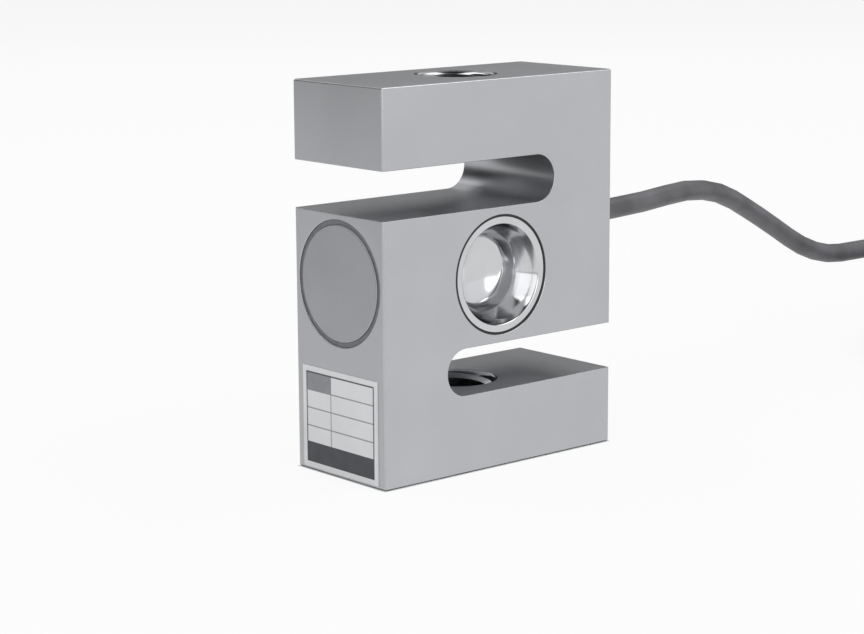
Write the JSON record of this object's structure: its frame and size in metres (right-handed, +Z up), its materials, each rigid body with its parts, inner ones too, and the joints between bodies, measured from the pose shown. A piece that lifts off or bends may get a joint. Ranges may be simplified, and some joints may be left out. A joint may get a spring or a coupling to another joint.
{
  "type": "s-beam load cell",
  "caption": "S-beam load cell in nickel-plated steel with a tapped hole through each end bar, bright gauge cups, a round side cover and a dark grey cable tied in a hank",
  "frame": {"origin": "centre of the bottom face, on the axis of the two tapped holes", "axes": "+Z up along the load axis, -Y out of the front gauge pocket, -X out of the side cover and label, +X along the cable where it leaves"},
  "size_m": [0.2178, 0.0448, 0.064],
  "materials": {
    "nickel_steel": "alloy steel, ground and satin nickel plated",
    "polished_steel": "bright drawn stainless sheet",
    "cover_steel": "satin stainless disc",
    "sealant": "dark silicone sealant",
    "grey_sealant": "grey epoxy sealant",
    "label_film": "printed silver film, satin",
    "gauge_foil": "amber polyimide with metal foil",
    "bare_wire": "tinned copper",
    "foam_pad": "grey adhesive foam",
    "circuit_board": "green solder resist on glass laminate",
    "solder": "bright solder",
    "resistor_body": "black chip resistor",
    "grommet_rubber": "black rubber",
    "plated_brass": "nickel plated brass",
    "cable_jacket": "dark grey satin jacket",
    "tie_plastic": "black nylon",
    "shrink_sleeve": "black heat-shrink sleeve",
    "core_red": "red wire insulation",
    "core_black": "black wire insulation",
    "core_green": "green wire insulation",
    "core_white": "white wire insulation"
  },
  "bodies": {
    "root": {"s_beam_body": "nickel_steel", "front_cup": "polished_steel", "rear_cup": "polished_steel", "front_cup_seal": "sealant", "rear_cup_seal": "sealant", "front_strain_gauge": "gauge_foil", "rear_strain_gauge": "gauge_foil", "front_gauge_leads": "bare_wire", "rear_gauge_leads": "bare_wire", "side_cover": "cover_steel", "side_cover_seal": "grey_sealant", "label_plate": "label_film", "board_pad": "foam_pad", "bridge_board": "circuit_board", "solder_joints": "solder", "trim_resistors": "resistor_body", "inner_core_red": "core_red", "inner_core_black": "core_black", "inner_core_green": "core_green", "inner_core_white": "core_white", "gland_grommet": "grommet_rubber", "gland_washer": "plated_brass", "gland_screw": "plated_brass", "cable_run": "cable_jacket", "cable_hank": "cable_jacket", "front_tie": "tie_plastic", "rear_tie": "tie_plastic", "end_sleeve": "shrink_sleeve", "flying_lead_red": "core_red", "flying_lead_black": "core_black", "flying_lead_green": "core_green", "flying_lead_white": "core_white", "drain_wire": "bare_wire", "lead_tips": "bare_wire"}
  },
  "joints": []
}
